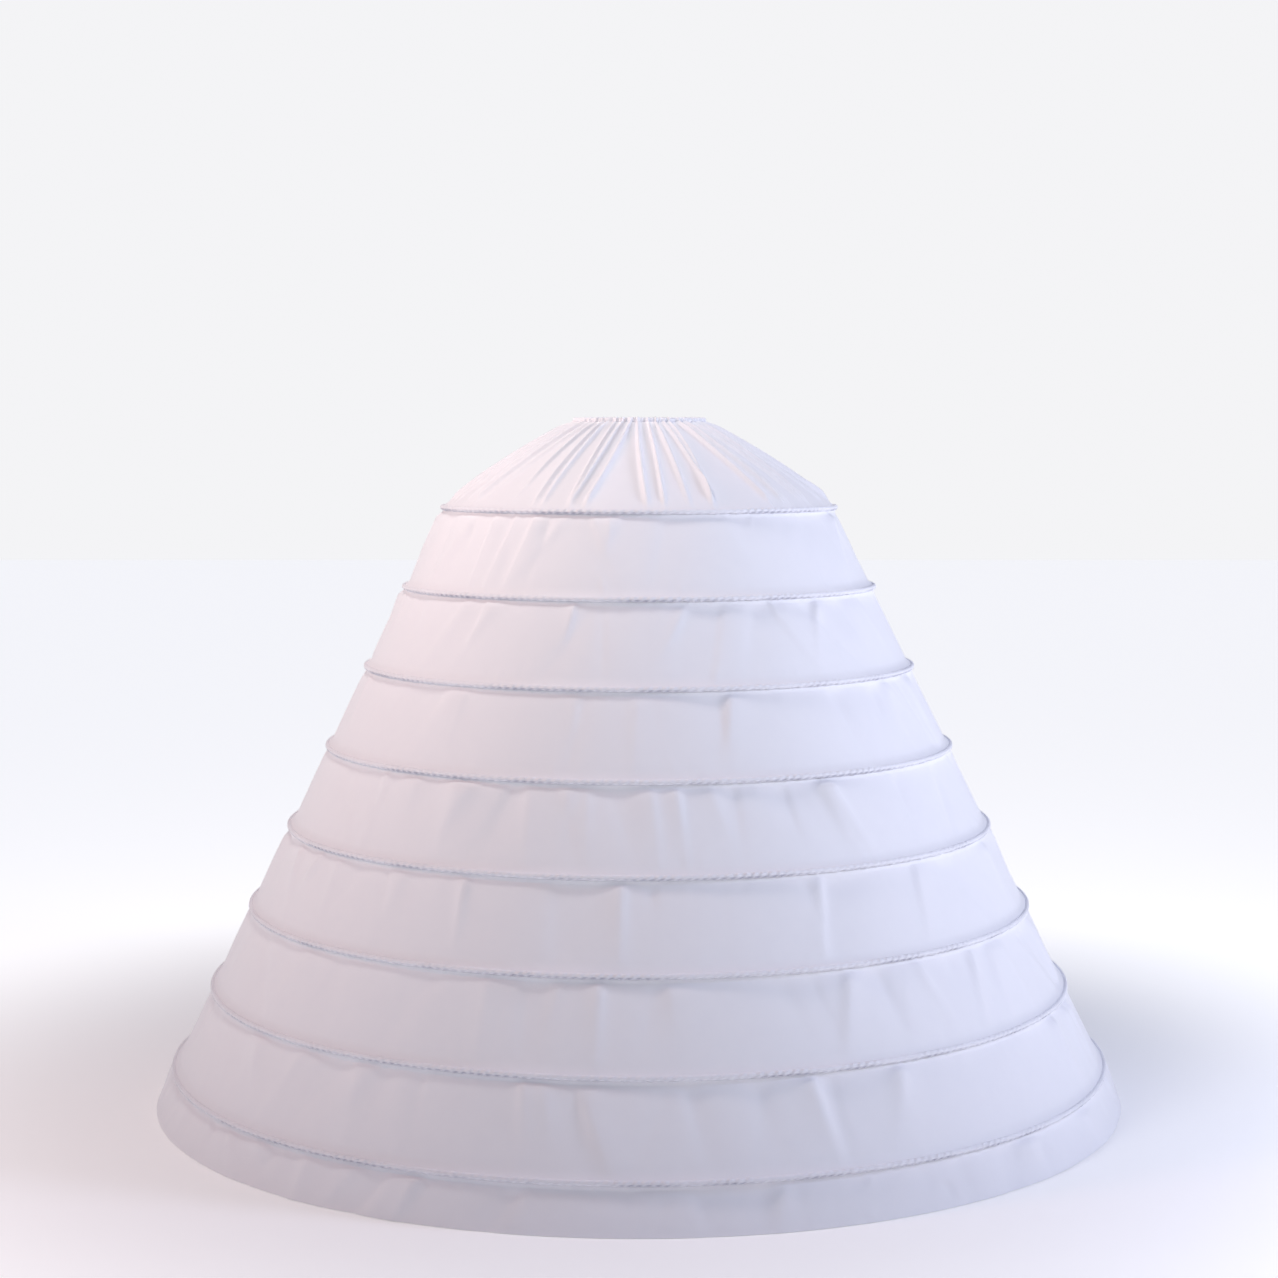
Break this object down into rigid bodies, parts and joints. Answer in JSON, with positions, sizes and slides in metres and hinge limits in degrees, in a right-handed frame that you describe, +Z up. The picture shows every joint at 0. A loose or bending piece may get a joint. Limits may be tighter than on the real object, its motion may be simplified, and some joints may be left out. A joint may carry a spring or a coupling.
{
  "type": "crinoline cage",
  "caption": "Cone-shaped hoop petticoat with a gathered elastic waist, cloth tiers and sprung hoops in casings.",
  "frame": {"origin": "centre of the waist opening at its top edge", "axes": "+Z up along the waist's axis, -Y the wearer's front, +Y centre back where the hoops' ends meet, +X the wearer's left"},
  "size_m": [1.655, 1.6549, 1.1635],
  "materials": {
    "cloth": "thin white woven polyester with a slight sheen",
    "casing_cloth": "the same white cloth, folded into a puckered tube",
    "elastic": "flat braided white elastic",
    "hoop_wire": "white plastic coating on spring-steel wire",
    "joiner_metal": "drawn steel tube"
  },
  "bodies": {
    "root": {"yoke": "cloth", "waist_elastic": "elastic", "tier_1": "cloth", "tier_2": "cloth", "tier_3": "cloth", "tier_4": "cloth", "tier_5": "cloth", "tier_6": "cloth", "tier_7": "cloth", "hem_tier": "cloth", "hoop_casing_1": "casing_cloth", "hoop_1": "hoop_wire", "hoop_joiner_1": "joiner_metal", "hoop_casing_2": "casing_cloth", "hoop_2": "hoop_wire", "hoop_joiner_2": "joiner_metal", "hoop_casing_3": "casing_cloth", "hoop_3": "hoop_wire", "hoop_joiner_3": "joiner_metal", "hoop_casing_4": "casing_cloth", "hoop_4": "hoop_wire", "hoop_joiner_4": "joiner_metal", "hoop_casing_5": "casing_cloth", "hoop_5": "hoop_wire", "hoop_joiner_5": "joiner_metal", "hoop_casing_6": "casing_cloth", "hoop_6": "hoop_wire", "hoop_joiner_6": "joiner_metal", "hoop_casing_7": "casing_cloth", "hoop_7": "hoop_wire", "hoop_joiner_7": "joiner_metal", "hoop_casing_8": "casing_cloth", "hoop_8": "hoop_wire", "hoop_joiner_8": "joiner_metal"}
  },
  "joints": []
}
